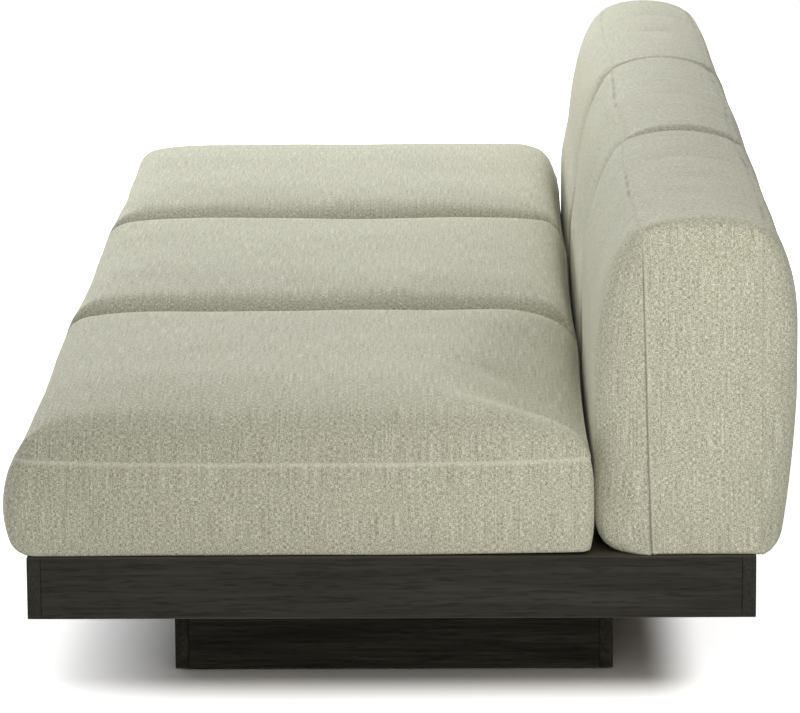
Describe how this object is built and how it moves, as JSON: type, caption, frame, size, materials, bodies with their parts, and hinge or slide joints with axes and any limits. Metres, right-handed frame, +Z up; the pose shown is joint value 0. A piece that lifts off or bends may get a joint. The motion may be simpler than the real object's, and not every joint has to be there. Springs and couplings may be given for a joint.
{
  "type": "sofa",
  "caption": "Low platform sofa: loose boxed seat cushions and upright back cushions on a dark timber platform with a recessed plinth; every cushion lifts off.",
  "frame": {"origin": "on the floor, in the middle of the sofa's outer box", "axes": "+X along the sofa towards the sitter's left hand, -Y the way a sitter looks, +Z up"},
  "size_m": [2.4, 1.084, 0.6852],
  "materials": {
    "linen": "slubbed linen-look weave, pale stone green",
    "foam": "cut seating foam",
    "stained_oak": "open-grained oak, near-black brown stain, matt",
    "plinth_oak": "open-grained oak, near-black brown stain, matt",
    "deck_ply": "stained plywood",
    "frame_timber": "planed softwood, unfinished",
    "black_steel": "black powder coat",
    "zinc_screw": "zinc plated",
    "felt": "dense felt"
  },
  "bodies": {
    "base": {"back_bearer": "frame_timber", "back_upright_1": "black_steel", "back_upright_2": "black_steel", "back_upright_3": "black_steel", "back_upright_4": "black_steel", "back_upright_5": "black_steel", "back_upright_6": "black_steel", "end_cleats": "frame_timber", "floor_glides": "felt", "frame_tenons": "frame_timber", "front_bearer": "frame_timber", "front_cleats": "frame_timber", "front_rail": "stained_oak", "left_cross_rail": "frame_timber", "left_deck_panel": "deck_ply", "left_end_rail": "stained_oak", "middle_bearer": "frame_timber", "middle_deck_panel": "deck_ply", "plinth_blocks": "frame_timber", "plinth_divider": "plinth_oak", "plinth_front": "plinth_oak", "plinth_left_end": "plinth_oak", "plinth_rear": "plinth_oak", "plinth_right_end": "plinth_oak", "rear_cleats": "frame_timber", "rear_rail": "stained_oak", "right_cross_rail": "frame_timber", "right_deck_panel": "deck_ply", "right_end_rail": "stained_oak", "upright_screws": "zinc_screw"},
    "seat_left": {"seat_cover_left": "linen", "seat_foam_left": "foam"},
    "seat_middle": {"seat_cover_middle": "linen", "seat_foam_middle": "foam"},
    "seat_right": {"seat_cover_right": "linen", "seat_foam_right": "foam"},
    "back_left": {"back_cover_left": "linen", "back_foam_left": "foam"},
    "back_middle": {"back_cover_middle": "linen", "back_foam_middle": "foam"},
    "back_right": {"back_cover_right": "linen", "back_foam_right": "foam"}
  },
  "joints": [
    {"name": "seat_left_lift", "type": "slide", "parent": "base", "child": "seat_left", "axis": [0, 0, 1], "range_m": [0, 0.5]},
    {"name": "seat_middle_lift", "type": "slide", "parent": "base", "child": "seat_middle", "axis": [0, 0, 1], "range_m": [0, 0.5]},
    {"name": "seat_right_lift", "type": "slide", "parent": "base", "child": "seat_right", "axis": [0, 0, 1], "range_m": [0, 0.5]},
    {"name": "back_left_lift", "type": "slide", "parent": "base", "child": "back_left", "axis": [0, 0, 1], "range_m": [0, 0.5]},
    {"name": "back_middle_lift", "type": "slide", "parent": "base", "child": "back_middle", "axis": [0, 0, 1], "range_m": [0, 0.5]},
    {"name": "back_right_lift", "type": "slide", "parent": "base", "child": "back_right", "axis": [0, 0, 1], "range_m": [0, 0.5]}
  ]
}
